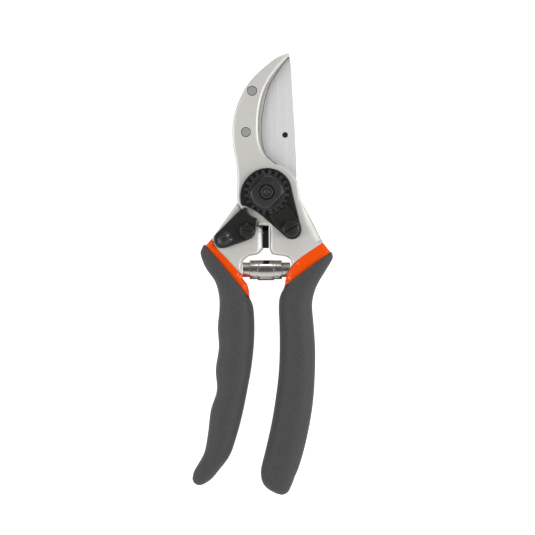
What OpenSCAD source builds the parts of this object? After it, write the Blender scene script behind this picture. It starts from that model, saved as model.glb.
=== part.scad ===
// Bypass pruning shears, shut and held by their thumb catch.
// The tool lies on its back: X to the right, Y towards the tip of the blade, +Z out of the front.
// The pivot's axis is the Z axis, and Z = 0 is the back face of the pivot bolt's head,
// level with the lowest line of the grips. Millimetres.

/* [Layers, from the back to the front] */
// Height of the pivot bolt's head
head_h = 3.0; // [2.5:0.1:3.4]
// Thickness of the washer under the bolt's head
head_washer_h = 0.6; // [0.4:0.1:0.8]
// Thickness of the blade arm where the other arm crosses it
lap_back_h = 4.7; // [4.2:0.1:5.2]
// Thickness of the cutting blade
blade_h = 3.5; // [3.0:0.1:3.8]
// Thickness of the hook arm where it crosses the blade
lap_front_h = 4.5; // [4.0:0.1:5.0]
// Thickness of the counter blade
counter_h = 2.9; // [2.4:0.1:3.2]
// Thickness of the locking plate
plate_h = 1.2; // [1.0:0.1:1.4]
// Height of the nut's teeth
teeth_h = 2.6; // [2.2:0.1:3.0]
// Height of the nut's raised centre above its teeth
nut_boss_h = 1.9; // [1.4:0.1:2.2]
// Thickness of the toothed segment
segment_h = 2.2; // [1.8:0.1:2.6]
// Thickness of the thumb catch
catch_h = 2.6; // [2.2:0.1:3.0]
// Thickness of a grip, front to back
grip_h = 19.6; // [18.4:0.2:20.4]

/* [Pivot] */
// Radius of the bolt's shank
bolt_r = 4.0; // [3.6:0.1:4.2]
// Radius of the bolt's threaded end
thread_r = 3.2; // [2.8:0.1:3.3]
// Outer radius of the bush
bush_r = 5.5; // [5.0:0.1:6.0]
// Running clearance on the shank
running = 0.05; // [0.02:0.01:0.08]
// Width across the flats of the bolt's head
head_af = 13; // [12:0.5:14]
// Radius of the blade arm's round boss
back_boss_r = 15; // [14.4:0.1:15.0]
// Radius of the blade's round tang
blade_boss_r = 14.2; // [13:0.1:14.4]

/* [Nut] */
// Number of teeth
teeth = 20; // [20]
// Radius over the teeth
tooth_tip_r = 11.1; // [10.8:0.1:11.2]
// Radius at the foot of the teeth
tooth_root_r = 9.0; // [8.8:0.1:9.2]
// Width of a tooth at its tip
tooth_w = 1.3; // [1.1:0.1:1.5]
// Radius of the raised centre
nut_boss_r = 8.4; // [8.0:0.1:8.6]
// Distance from the axis to each of the two flats
nut_flat = 6.5; // [6.2:0.1:7.0]

/* [Screws] */
// Width across the flats of the segment screw's head
segment_screw_af = 8; // [7:0.5:8.5]
// Width across the flats of the catch screw's head
catch_screw_af = 7; // [6.5:0.5:7.5]
// Height of a screw's head
screw_head_h = 2.6; // [2.2:0.1:2.8]
// Radius of both screws' threads
screw_r = 2.2; // [1.8:0.1:2.3]
// Radius of the catch screw's shoulder
shoulder_r = 3.0; // [2.6:0.1:3.1]
// Width of a screw's slot
slot_w = 0.9; // [0.7:0.1:1.1]

/* [Hidden] */
$fn = 64;

// Running gap between faces of the two sides
gap = 0.1;
// Gap round a screw, rivet or pin in its hole
fit = 0.03;
// A cut runs this far past the face that it opens
past = 1;

// Heights of the layers
arm_back = head_h + head_washer_h + gap;
blade_back = arm_back + lap_back_h;
blade_front = blade_back + blade_h;
counter_back = blade_front + gap;
washer_h = 0.5;
hook_back = counter_back + washer_h;
hook_front = hook_back + lap_front_h;
plate_front = hook_front + plate_h;
teeth_front = plate_front + teeth_h;
nut_front = teeth_front + nut_boss_h;
segment_front = plate_front + segment_h;
blade_arm_front = hook_front - 0.3;
catch_back = hook_front + 0.3;
catch_front = catch_back + catch_h;
bolt_front = nut_front + 0.6;
grip_mid = grip_h / 2;

// Centres of the fasteners
rivets = [[-7.3, 50.6], [-10.4, 30]];
rivet_r = 2.2;
pin_at = [9.2, 28.8];
pin_r = 1.4;
segment_screw_at = [12, -18.2];
catch_at = [-9.9, -19.2];

// The spring between the arms: its ends, the height of its axis and the studs that hold it
spring_x = [-12.1, 11.9];
spring_y = -38.9;
stud_r = 2;
pocket_r = 3.7;

// The blade arm keeps outside the hook arm's round boss, and the other way about
clear_r = 15.6;
// Faces of the two arms beside the bumper
left_face = -1.7;
right_face = 1.4;

// A smooth curve through a few points, n steps to each stretch
function spline(p, n = 5) = [
    for (i = [0:len(p) - 2])
        for (k = [0:n - 1])
            let (t = k / n, a = p[max(i - 1, 0)], b = p[i], c = p[i + 1], d = p[min(i + 2, len(p) - 1)])
                0.5 * (2 * b + (c - a) * t + (2 * a - 5 * b + 4 * c - d) * t * t
                    + (3 * b - a - 3 * c + d) * t * t * t),
    p[len(p) - 1]
];
// Points of an arc about a centre, from one angle to another
function arc(c, r, a0, a1, n = 12) = [
    for (i = [0:n]) let (a = a0 + (a1 - a0) * i / n) c + r * [cos(a), sin(a)]
];
// A list from its end to its start
function reversed(p) = [for (i = [len(p) - 1:-1:0]) p[i]];

// Outlines of the hook
hook_outside = spline([
    [10.6, 69.3], [6.4, 68], [1.9, 65], [-5, 59], [-10, 53], [-13.3, 47], [-15.6, 41], [-16.9, 35],
    [-17.15, 30], [-16.8, 23], [-15.7, 17], [-14.75, 10], [-14.7, 4], [-15, -1.5], [-14.7, -4.8], [-13.7, -6.9]
]);
hook_inside = spline([
    [11.5, 68.6], [10, 67], [5, 61.5], [0, 54], [-2.7, 47], [-4.2, 38], [-4.2, 28], [-2.2, 20.5],
    [0.8, 17.6], [5, 14.3], [10, 12], [14, 8], [15.7, 4.5]
]);
counter_edge = spline([
    [11.4, 67.6], [7.5, 63], [3, 56], [0.3, 50], [-1.9, 40], [-2.6, 30], [-1.5, 22], [0.5, 17.5]
]);
counter_hidden = spline([
    [-6, 16.8], [-11.8, 19], [-13.6, 26], [-13.5, 36], [-11.2, 46], [-7.4, 54], [-1, 60.6], [6, 66], [10.6, 68]
]);

// Outlines of the shanks below the pivot
right_outside = spline([[15.7, 4.5], [16.4, 0], [17.2, -4], [20.3, -10], [23.6, -16], [28.1, -25.1]]);
right_inside = concat(
    [[right_face, -16.4], [right_face, -28.5]],
    spline([[right_face + 1.2, -30.9], [5, -31.4], [9, -31.9], [12.2, -33.8], [12.2, -37]])
);
left_outside = [[-14.7, -5.3], [-27.2, -22.9]];
left_inside = concat(
    [[-3.8, -17.4], [-2.7, -18], [-2, -19.1], [left_face, -20.6], [left_face, -28.2]],
    spline([[-3.9, -30.7], [-6, -31.3], [-9, -31.9], [-12, -34.6], [-12.5, -38.5], [-12.2, -41.2]])
);
// Where the bare metal ends and the coloured sleeve begins, from the inner side outwards
right_sleeve_edge = spline([[12.2, -37], [15, -34.1], [20, -30.5], [28.1, -25.1]]);
left_sleeve_edge = spline([[-12.2, -41.2], [-15, -38.5], [-20, -33], [-25, -28], [-26.5, -25.6], [-27.2, -22.9]]);
// The sleeve's outline below that: down its outer side, along the grip's lip and up its inner side
right_sleeve_below = [[31.8, -29.8], [9, -46.6], [9.5, -43.4], [10.6, -39.8]];
left_sleeve_below = [[-30.3, -26.3], [-8.6, -52.4], [-8.9, -49], [-9.8, -45.8], [-12.2, -42.8]];

// Tangs: the middle line of the metal inside each grip, and its half width at the top and the bottom
left_tang = spline([[-20, -38], [-16.6, -52], [-15.2, -66], [-15.6, -80], [-17.3, -97], [-21.5, -118]]);
right_tang = spline([[20, -40], [15.2, -54], [15, -68], [15.4, -84], [14, -102], [9.6, -124]]);
tang_w = [5.4, 3.2];
tang_z = [6, 13.6];
// Between its shank and its tang the metal is a thinner neck inside the coloured sleeve
neck_z = [6, 13.6];
left_neck = [[-23.5, -24.5], [-26.4, -31.5], [-21.5, -43.5], [-12.8, -46], [-15, -37]];
right_neck = [[24, -27.5], [26.5, -33.5], [20.6, -44.6], [12.8, -44.6], [15.5, -36]];

// Sections of the handles, each [outer x, y, inner x, y, half depth, squareness].
// Squareness is the power of a rounded oblong: 2 is an ellipse, more is squarer.
left_grip_sections = [
    [-31.1, -25.56, -8.7, -52.4, 8.9, 3.6], [-32.5, -27.9, -8.3, -53.2, 9.1, 3.3], [-33.1, -31, -7.9, -54, 9.3, 3.1], [-30.6, -37.6, -7.2, -55.5, 9.6, 2.8],
    [-26, -44.3, -6.7, -57.5, 9.8, 2.6], [-24, -51, -6.4, -60, 9.8, 2.5], [-23.7, -58, -6.2, -63.5, 9.8, 2.4],
    [-24.5, -67.5, -6.1, -69, 9.8, 2.4], [-24, -77.5, -6.5, -77.5, 9.7, 2.4], [-25.5, -88.5, -7.7, -88, 9.6, 2.4],
    [-25, -99, -9.4, -97.5, 9.3, 2.4], [-28, -109, -12, -110.5, 8.9, 2.4], [-29.5, -121, -14.9, -121.5, 8.5, 2.4],
    [-31.4, -130.5, -18.4, -131.5, 8, 2.4], [-36, -138.6, -23.8, -138.9, 7.4, 2.4],
    [-36.95, -141.4, -26, -141.6, 6.9, 2.4], [-37.2, -143.4, -28.1, -143.8, 6.2, 2.4], [-36.5, -145.2, -30.6, -145.5, 5, 2.4]
];
right_grip_sections = [
    [32.4, -29.43, 9, -46.6, 8.9, 3.6], [33, -30.9, 8.6, -47.6, 9.1, 3.3], [32.9, -33.3, 8.2, -48.6, 9.3, 3.1], [29.5, -39.2, 7.2, -50.5, 9.6, 2.8],
    [25.8, -45.3, 6.4, -53, 9.8, 2.6], [23.6, -51, 6.1, -56, 9.8, 2.5], [22.8, -57, 6.1, -60, 9.8, 2.4],
    [23.6, -67, 6.4, -68, 9.8, 2.4], [24.3, -78, 6.5, -78, 9.8, 2.4], [24.2, -90, 6, -90, 9.7, 2.4],
    [23.4, -103, 4.6, -102, 9.5, 2.4], [21.7, -115, 2.5, -115, 9.2, 2.4], [18.9, -128, -0.4, -128, 8.9, 2.4],
    [16.1, -137.5, -2.8, -138, 8.5, 2.4], [14.2, -142, -2.8, -142.4, 8, 2.4], [13.2, -144.8, -2.2, -144.8, 7.5, 2.4],
    [12.4, -146.7, -1, -146.8, 6.9, 2.4], [11.6, -148.5, 0.8, -148.5, 6, 2.4], [11, -149.6, 2.6, -149.6, 5.1, 2.4],
    [10.3, -150.4, 4.6, -150.4, 4, 2.4]
];
// The sleeve's tail is hidden in the grip, round the neck
sleeve_tail_z = [5, 14.6];
right_tail = [[27.6, -31], [28.6, -34.4], [22.4, -46], [10.6, -48.4], [11.6, -43]];
left_tail = [[-26.5, -29], [-28.4, -34], [-22.6, -46], [-10.6, -53], [-12, -46.6]];
// How far the sleeve stands out from the bare metal, front and back
sleeve_proud = 0.3;

// A closed solid through sections, each a rounded oblong between an outer and an inner edge.
// With an end point, it closes there in three shrinking rings.
module oval_bar(sections, end_point = undef, n = 3) {
    sides = 20;
    s = spline(sections, n);
    last = s[len(s) - 1];
    end_c = [last[0] + last[2], last[1] + last[3]] / 2;
    end_d = [last[0] - last[2], last[1] - last[3]] / 2;
    // Rings run the same way round on a left and a right handle
    way = last[0] > last[2] ? 1 : -1;
    // How far towards the end point each closing ring lies, and its size
    tips = end_point == undef ? [] : [[0.55, 0.86], [0.86, 0.52], [0.98, 0.2]];
    function ring(c, d, half, power) = [
        for (k = [0:sides - 1])
            let (a = way * 360 * k / sides, u = sign(cos(a)) * pow(abs(cos(a)), 2 / power))
                [c[0] + d[0] * u, c[1] + d[1] * u, grip_mid + half * sign(sin(a)) * pow(abs(sin(a)), 2 / power)]
    ];
    rings = concat(
        [for (p = s) ring([p[0] + p[2], p[1] + p[3]] / 2, [p[0] - p[2], p[1] - p[3]] / 2, p[4], p[5])],
        [for (t = tips) ring(end_c + (end_point - end_c) * t[0], end_d * t[1], last[4] * sqrt(t[1]), last[5])]
    );
    count = len(rings);
    sides_of = [for (r = [0:count - 2]) for (k = [0:sides - 1]) [r * sides + k, r * sides + (k + 1) % sides]];
    faces = concat(
        [[for (k = [0:sides - 1]) k]],
        [for (e = sides_of) [e[1], e[0], e[0] + sides]],
        [for (e = sides_of) [e[1], e[0] + sides, e[1] + sides]],
        [[for (k = [sides - 1:-1:0]) (count - 1) * sides + k]]
    );
    polyhedron([for (r = rings) for (p = r) p], faces, convexity = 6);
}

// A flat bar along a middle line, narrowing from its first half width to its second
module tang(line) {
    last = len(line) - 1;
    function side(i, s) = let (
        d = line[min(i + 1, last)] - line[max(i - 1, 0)],
        w = tang_w[0] + (tang_w[1] - tang_w[0]) * i / last)
            line[i] + s * w * [-d[1], d[0]] / norm(d);
    translate([0, 0, tang_z[0]])
        linear_extrude(tang_z[1] - tang_z[0])
            polygon(concat([for (i = [0:last]) side(i, 1)], [for (i = [last:-1:0]) side(i, -1)]));
}

// A cylinder between two heights
module rod(at, r, z0, z1) {
    translate([at[0], at[1], z0]) cylinder(r = r, h = z1 - z0);
}
// A flat piece between two heights
module layer(z0, z1) {
    translate([0, 0, z0]) linear_extrude(z1 - z0) children();
}
// A hexagonal head with a slot across it
module slotted_hexagon(at, z0, af, turn, slot_turn) {
    translate([at[0], at[1], z0]) difference() {
        intersection() {
            rotate(turn) cylinder(r = af / sqrt(3), h = screw_head_h, $fn = 6);
            union() {
                cylinder(r = af, h = screw_head_h * 0.6);
                translate([0, 0, screw_head_h * 0.6])
                    cylinder(r1 = af * 0.62, r2 = af * 0.46, h = screw_head_h * 0.4);
            }
        }
        rotate(slot_turn) translate([-af, -slot_w / 2, screw_head_h - 1])
            cube([2 * af, slot_w, 2]);
    }
}
// Teeth round a disc, each swollen by grow for the gap of its mate
module toothed_disc(grow) {
    circle(r = tooth_root_r + grow);
    for (i = [0:teeth - 1])
        rotate(10 + i * 360 / teeth)
            translate([tooth_root_r - 1, 0])
                polygon([
                    [0, -tooth_w * 0.72 - grow], [tooth_tip_r - tooth_root_r + 1 + grow, -tooth_w / 2 - grow],
                    [tooth_tip_r - tooth_root_r + 1 + grow, tooth_w / 2 + grow], [0, tooth_w * 0.72 + grow]
                ]);
}

// ---- Hook side ----

module hook_arm() {
    color("gainsboro") difference() {
        union() {
            layer(hook_back, hook_front)
                polygon(concat(
                    reversed(hook_outside), hook_inside, right_outside,
                    reversed(right_sleeve_edge), reversed(right_inside),
                    [[-4.3, -16.4], [-4.6, -15], [-7, -13.5], [-9.6, -11.7], [-12, -9.2]]
                ));
            layer(arm_back, hook_front)
                polygon(concat(
                    [for (p = right_outside) if (p[1] < -3.8) p],
                    reversed(right_sleeve_edge), reversed(right_inside),
                    arc([0, 0], clear_r, -84, -14)
                ));
            right_core();
        }
        spring_pocket();
        rod([0, 0], bolt_r + fit, hook_back - past, hook_front + past);
        layer(hook_back - past, counter_back + counter_h) counter_blade_outline();
        for (p = rivets) rod(p, rivet_r + fit, hook_back, hook_front + past);
        rod(segment_screw_at, screw_r + fit, arm_back + 2, hook_front + past);
    }
}

module counter_blade_outline() {
    polygon(concat(counter_edge, counter_hidden));
}

module counter_blade() {
    color("silver") difference() {
        layer(counter_back, counter_back + counter_h) counter_blade_outline();
        for (p = rivets) rod(p, rivet_r + fit, counter_back - past, hook_front);
    }
}

module counter_blade_rivets() {
    color("darkgray") for (p = rivets) rod(p, rivet_r, counter_back, hook_front + 0.05);
}

module pivot_bolt() {
    color("dimgray") difference() {
        union() {
            intersection() {
                cylinder(r = head_af / sqrt(3), h = head_h, $fn = 6);
                union() {
                    cylinder(r1 = head_af * 0.5, r2 = head_af * 0.6, h = 1);
                    translate([0, 0, 1]) cylinder(r = head_af, h = head_h);
                }
            }
            rod([0, 0], bolt_r, head_h, hook_front);
            rod([0, 0], thread_r, hook_front, bolt_front);
        }
        translate([0, 0, bolt_front]) sphere(r = 1.8);
    }
}

module head_washer() {
    color("darkgray") difference() {
        rod([0, 0], 8, head_h, head_h + head_washer_h);
        rod([0, 0], bolt_r + fit, 0, 10);
    }
}

module shear_washer() {
    color("goldenrod") difference() {
        rod([0, 0], 9, counter_back, hook_back);
        rod([0, 0], bolt_r + fit, counter_back - past, hook_back + past);
    }
}

module locking_plate() {
    end = [12.6, -18.7];
    color("#1e1e1c") difference() {
        layer(hook_front, plate_front) {
            difference() {
                union() {
                    translate([0.3, -0.3]) circle(r = 12.4);
                    intersection() {
                        translate([1.1, -2.3]) circle(r = 14.4);
                        translate([-15, -8]) square([16.1, 21]);
                    }
                }
                polygon([[-15, -6.4], [-10.5, -6.8], [-6, -9.2], [-1, -12.2], [-1, -14], [-15, -14]]);
            }
            polygon([[-6, -9], [-2, -12], [9.4, -22.3], end, [17.3, -17.9], [12.6, 1], [0, 0]]);
            translate(end) circle(r = 4.8);
        }
        rod([0, 0], thread_r + fit, hook_front - past, plate_front + past);
        rod(segment_screw_at, screw_r + fit, hook_front - past, plate_front + past);
    }
}

module toothed_nut() {
    color("#3a3a3b") difference() {
        union() {
            layer(plate_front, teeth_front) toothed_disc(0);
            intersection() {
                rod([0, 0], nut_boss_r, teeth_front, nut_front);
                rotate(137) translate([-nut_flat, -20, 0]) cube([2 * nut_flat, 40, 30]);
            }
        }
        rod([0, 0], thread_r + fit, plate_front - past, nut_front + past);
        translate([0, 0, nut_front - 0.5]) cylinder(r1 = 3.6, r2 = 4.6, h = 0.6);
    }
}

module toothed_segment() {
    end = [12.4, -18.4];
    color("#222221") difference() {
        layer(plate_front, segment_front) difference() {
            union() {
                polygon([
                    [1.4, -9], [1.7, -12.6], [3, -14.8], [4.2, -16.2], [9.5, -21.3], end,
                    [16.4, -17.8], [15.8, -15.2], [15, -13.2], [13.5, -11], [12.4, -9], [11.4, -8], [10, -6], [5, -4]
                ]);
                translate(end) circle(r = 4.05);
            }
            toothed_disc(0.2);
        }
        rod(segment_screw_at, screw_r + fit, plate_front - past, segment_front + past);
    }
}

module segment_screw() {
    color("#2c2c2c") {
        slotted_hexagon(segment_screw_at, segment_front, segment_screw_af, 2, 32);
        rod(segment_screw_at, screw_r, arm_back + 2.2, segment_front);
    }
}

module right_core() {
    layer(neck_z[0], neck_z[1]) polygon(right_neck);
    tang(right_tang);
    translate([spring_x[1] - 3.2, spring_y, grip_mid]) rotate([0, 90, 0]) cylinder(r = stud_r, h = 6);
}
// The spring's right end sits in a round pocket, which leaves the stud standing
module spring_pocket() {
    translate([spring_x[1] - 6, spring_y, grip_mid]) rotate([0, 90, 0]) difference() {
        cylinder(r = pocket_r, h = 6.2);
        cylinder(r = stud_r, h = 7);
    }
}

// A sleeve shows as a band between the bare metal and the grip's lip, and has a hidden tail
module sleeve_body(outline, tail) {
    layer(arm_back - sleeve_proud, hook_front + sleeve_proud) polygon(outline);
    layer(sleeve_tail_z[0], sleeve_tail_z[1]) polygon(tail);
}

module right_sleeve() {
    color("#e84a00") difference() {
        sleeve_body(concat(right_sleeve_edge, right_sleeve_below), right_tail);
        spring_pocket();
        right_core();
    }
}

module right_grip() {
    color("#505050") difference() {
        oval_bar(right_grip_sections, [7.6, -151.3]);
        layer(sleeve_tail_z[0], sleeve_tail_z[1]) polygon(right_tail);
        right_core();
    }
}

// A barrel of flat strip: each turn is a short tube, smaller towards the ends
module volute_spring() {
    // Outer radius of each turn and how far it reaches from the left end
    turns = [[3.2, 3.9], [4.3, 7.8], [5.1, 15.7], [4.3, 19.5], [3.2, spring_x[1] - spring_x[0]]];
    strip = 0.7;
    color("lightgray") translate([spring_x[0], spring_y, grip_mid]) rotate([0, 90, 0]) rotate_extrude()
        for (i = [0:4]) {
            start = i == 0 ? 0 : turns[i - 1][1];
            translate([turns[i][0] - strip, max(0, start - 0.4)])
                square([strip, turns[i][1] - start + (i == 0 || i == 4 ? 0.4 : 0.8)]);
            if (i > 0)
                translate([min(turns[i][0], turns[i - 1][0]) - strip, start - 0.4])
                    square([abs(turns[i][0] - turns[i - 1][0]) + strip, 0.8]);
        }
}

// ---- Blade side ----

module blade_arm() {
    color("gainsboro") difference() {
        union() {
            layer(arm_back, blade_back) {
                circle(r = back_boss_r);
                polygon([[-6, 12], [4.4, 29.5], [9.2, 30], [14, 28.5], [14.4, 3]]);
                translate(pin_at) circle(r = 4.8);
                polygon([[-14.7, -5.3], [-20, -13.2], [left_face, -20], [left_face, -12]]);
            }
            layer(arm_back, blade_arm_front)
                polygon(concat(
                    left_outside, reversed(left_sleeve_edge), reversed(left_inside),
                    [[-4.8, -17.1], [-5.2, -15.9]], arc([0, 0], clear_r, 250, 200)
                ));
            left_core();
        }
        rod([0, 0], bush_r, arm_back - past, blade_back + past);
        rod(pin_at, pin_r + fit, arm_back - past, blade_back + past);
        rod(catch_at, screw_r + fit, arm_back + 2, blade_arm_front + past);
        translate([-4, -23.2, grip_mid]) rotate([0, 90, 0]) cylinder(r = 2, h = 3);
    }
}

module cutting_blade() {
    spine = spline([[11.7, 68], [12.4, 61], [13.2, 47], [14.2, 32], [14.8, 19], [15.1, 8]]);
    edge = spline([
        [-7.2, 11.8], [-5, 17], [-4.2, 22], [-4.6, 30], [-3.8, 40], [-1.2, 50.4], [3.6, 59.6], [8.6, 65.3], [11.3, 67.8]
    ]);
    color("silver") difference() {
        layer(blade_back, blade_front)
            polygon(concat(spine, arc([0, 0], blade_boss_r, 16, -236, 36), edge));
        rod([0, 0], bush_r, blade_back - past, blade_front + past);
        rod(pin_at, pin_r + fit, blade_back - past, blade_front + past);
    }
}

module blade_pin() {
    color("#262626") rod(pin_at, pin_r, arm_back, blade_front);
}

module pivot_bush() {
    color("darkgray") difference() {
        rod([0, 0], bush_r, arm_back, blade_front);
        rod([0, 0], bolt_r + running, arm_back - past, blade_front + past);
    }
}

module stop_bumper() {
    color("#151515") {
        translate([left_face, -27.8, arm_back + 1]) cube([right_face - left_face - 0.3, 9, 11]);
        // The foot fills the bottom of the recess between the arms
        translate([left_face, -20, arm_back + 1]) cube([right_face - left_face - 0.3, 3.6, 4.3]);
        translate([-3.8, -23.2, grip_mid]) rotate([0, 90, 0]) cylinder(r = 2, h = 2.2);
    }
}

module left_core() {
    layer(neck_z[0], neck_z[1]) polygon(left_neck);
    tang(left_tang);
    translate([spring_x[0] - 3, spring_y, grip_mid]) rotate([0, 90, 0]) cylinder(r = stud_r, h = 6);
}

module left_sleeve() {
    color("#e84a00") difference() {
        sleeve_body(concat(left_sleeve_edge, left_sleeve_below), left_tail);
        left_core();
    }
}

module left_grip() {
    color("#505050") difference() {
        oval_bar(left_grip_sections, [-33.9, -146.5]);
        layer(sleeve_tail_z[0], sleeve_tail_z[1]) polygon(left_tail);
        left_core();
    }
}

module catch_screw() {
    color("#2c2c2c") {
        slotted_hexagon(catch_at, catch_front + 0.1, catch_screw_af, 30, -5);
        rod(catch_at, shoulder_r, blade_arm_front, catch_front + 0.1);
        rod(catch_at, screw_r, arm_back + 2.2, blade_arm_front);
    }
}

module catch_washer() {
    color("darkgray") difference() {
        rod(catch_at, 4.6, blade_arm_front, catch_back - 0.05);
        rod(catch_at, shoulder_r + fit, blade_arm_front - past, catch_back + past);
    }
}

// ---- Catch ----

// The catch turns on its screw. Its tip is thinner, and lies in front of the locking plate's edge.
module thumb_catch() {
    tip_back = plate_front + 0.2;
    color("#1e1e1c") difference() {
        union() {
            layer(catch_back, catch_front)
                polygon([
                    [-10.5, -7.4], [-9.3, -8.3], [-9.3, -9.5], [-8.7, -11], [-7, -12.3], [-5, -12.9], [-4.5, -13.5],
                    [-4.6, -15.5], [-5.2, -19], [-5.9, -21.3], [-7.5, -23], [-10, -24.2], [-15, -25.9], [-20, -27.7],
                    [-23, -28.1], [-25, -27], [-26.3, -24.5], [-26.5, -22.5], [-25.5, -21], [-20, -15.5],
                    [-15, -10.5], [-13, -8.6]
                ]);
            layer(catch_front, catch_front + 1.4)
                polygon([[-25.4, -23.6], [-20.5, -18.4], [-18.8, -19.6], [-16.2, -24.2], [-20, -26.4], [-24, -27]]);
        }
        rod(catch_at, shoulder_r + running, catch_back - past, catch_front + past);
        rod([0, 0], 15.1, catch_back - past, tip_back);
    }
}

hook_arm();
counter_blade();
counter_blade_rivets();
pivot_bolt();
head_washer();
shear_washer();
locking_plate();
toothed_nut();
toothed_segment();
segment_screw();
right_sleeve();
right_grip();
volute_spring();
blade_arm();
cutting_blade();
blade_pin();
pivot_bush();
stop_bumper();
left_sleeve();
left_grip();
catch_screw();
catch_washer();
thumb_catch();
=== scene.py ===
# %% [markdown]
# Bypass pruning shears, lying on their back and held shut by the thumb catch.
# A forged hook arm crosses a forged blade arm on one bolt. A toothed nut sets how tight the bolt is,
# and a toothed segment screwed over a black plate stops the nut from turning.
# The CAD model gives every size and place. Each piece here takes its outline from a level cut
# through its CAD piece, and then gets what CAD left out: rounded edges, bevels, grain and gloss.

# %% Load the frame
import math
import bpy
import bmesh
import numpy as np
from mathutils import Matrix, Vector, geometry


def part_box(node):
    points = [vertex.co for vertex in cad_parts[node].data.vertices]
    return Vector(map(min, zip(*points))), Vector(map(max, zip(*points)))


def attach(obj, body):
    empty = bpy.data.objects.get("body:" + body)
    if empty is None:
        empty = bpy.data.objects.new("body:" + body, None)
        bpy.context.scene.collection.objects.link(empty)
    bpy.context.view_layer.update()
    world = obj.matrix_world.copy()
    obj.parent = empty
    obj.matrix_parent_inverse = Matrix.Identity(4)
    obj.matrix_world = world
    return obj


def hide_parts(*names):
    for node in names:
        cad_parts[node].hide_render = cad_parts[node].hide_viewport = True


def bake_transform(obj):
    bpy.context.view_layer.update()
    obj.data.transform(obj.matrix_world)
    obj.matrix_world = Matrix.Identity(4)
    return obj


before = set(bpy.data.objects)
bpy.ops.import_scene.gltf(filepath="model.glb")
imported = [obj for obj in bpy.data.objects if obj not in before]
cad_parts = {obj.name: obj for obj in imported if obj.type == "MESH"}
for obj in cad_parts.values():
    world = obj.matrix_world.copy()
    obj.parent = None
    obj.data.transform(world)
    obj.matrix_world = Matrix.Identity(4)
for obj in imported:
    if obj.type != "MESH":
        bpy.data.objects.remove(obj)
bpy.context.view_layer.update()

# %% [markdown]
# Every drawing in a workshop is in millimetres, and Blender works in metres.
# All sizes below are written in millimetres and turned to metres as a mesh is made.

# %% Units and heights
MM = 0.001

def levels(node):
    """The lowest and highest level of a CAD piece, in millimetres"""
    low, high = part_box(node)
    return low.z / MM, high.z / MM

ARM_BACK, HOOK_FRONT = levels("hook_arm")
print("arms lie between", round(ARM_BACK, 2), "and", round(HOOK_FRONT, 2), "mm")

# %% [markdown]
# A level cut through a CAD piece is a set of closed outlines. The outer one runs anticlockwise and
# holes run clockwise, so that the material is always on the left of the line.
# Reading them from the CAD pieces means that no outline is written down twice.

# %% Outlines from level cuts
SPECK = 0.2  # outlines of a smaller area, in square millimetres, are dropped

def signed_area(loop):
    after = np.roll(loop, -1, 0)
    return 0.5 * float(np.sum(loop[:, 0] * after[:, 1] - after[:, 0] * loop[:, 1]))

def without_straight_points(loop, turn=0.3):
    """Drops the points in the middle of straight stretches"""
    before, after = loop - np.roll(loop, 1, 0), np.roll(loop, -1, 0) - loop
    cross = before[:, 0] * after[:, 1] - before[:, 1] * after[:, 0]
    return loop[np.degrees(np.abs(np.arctan2(cross, (before * after).sum(1)))) > turn]

def level_cut(node, height):
    """Closed outlines in millimetres where a level plane cuts a CAD piece"""
    bm = bmesh.new()
    bm.from_mesh(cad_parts[node].data)
    bmesh.ops.remove_doubles(bm, verts=bm.verts, dist=1e-7)
    everything = bm.verts[:] + bm.edges[:] + bm.faces[:]
    cut = bmesh.ops.bisect_plane(bm, geom=everything, dist=1e-8,
                                 plane_co=(0, 0, height * MM), plane_no=(0, 0, 1))
    joined = {}
    for edge in cut["geom_cut"]:
        if isinstance(edge, bmesh.types.BMEdge):
            a, b = edge.verts
            joined.setdefault(a, []).append(b)
            joined.setdefault(b, []).append(a)
    loops = []
    while joined:
        start = next(iter(joined))
        here, line = start, []
        while here in joined:
            line.append((here.co.x / MM, here.co.y / MM))
            ahead = [v for v in joined.pop(here) if v in joined]
            if not ahead:
                break
            here = ahead[0]
        if len(line) > 2:
            loops.append(without_straight_points(np.array(line)))
    bm.free()
    loops = [loop for loop in loops if len(loop) > 2 and abs(signed_area(loop)) > SPECK]
    loops.sort(key=lambda loop: -abs(signed_area(loop)))
    outer = loops[0]
    turned = []
    for loop in loops:
        hole = loop is not outer and bool(inside(loop[:1], [outer])[0])
        right_way = signed_area(loop) < 0 if hole else signed_area(loop) > 0
        turned.append(loop if right_way else loop[::-1])
    return turned

def inside(points, loops):
    """Which points lie inside the outlines and outside their holes"""
    x, y = points[:, 0][:, None], points[:, 1][:, None]
    result = np.zeros(len(points), bool)
    for loop in loops:
        a, b = loop, np.roll(loop, -1, 0)
        rise = np.where(b[:, 1] == a[:, 1], 1e-12, b[:, 1] - a[:, 1])
        crossing = (b[:, 0] - a[:, 0]) * (y - a[:, 1]) / rise + a[:, 0]
        crossed = ((a[:, 1] > y) != (b[:, 1] > y)) & (x < crossing)
        result ^= crossed.sum(1) % 2 == 1
    return result

print("hook arm's outlines at its front:", [len(loop) for loop in level_cut("hook_arm", 16)])

# %% [markdown]
# A rounded edge needs rows of points beside the outline, so each outline is cut into short steps and
# copied inwards a few times. A copy that runs into itself at an inside corner loses those points:
# the distance to the outline says which ones to drop.

# %% Short steps, distances and rows beside an outline
def short_steps(loop, step, smooth=0):
    """The outline with a point at least every step; smooth passes round off crude corners"""
    points = []
    for a, b in zip(loop, np.roll(loop, -1, 0)):
        count = max(1, math.ceil(float(np.linalg.norm(b - a)) / step))
        points += [a + (b - a) * k / count for k in range(count)]
    points = np.array(points)
    for _ in range(smooth):
        points = (np.roll(points, 1, 0) + 2 * points + np.roll(points, -1, 0)) / 4
    return points

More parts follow.
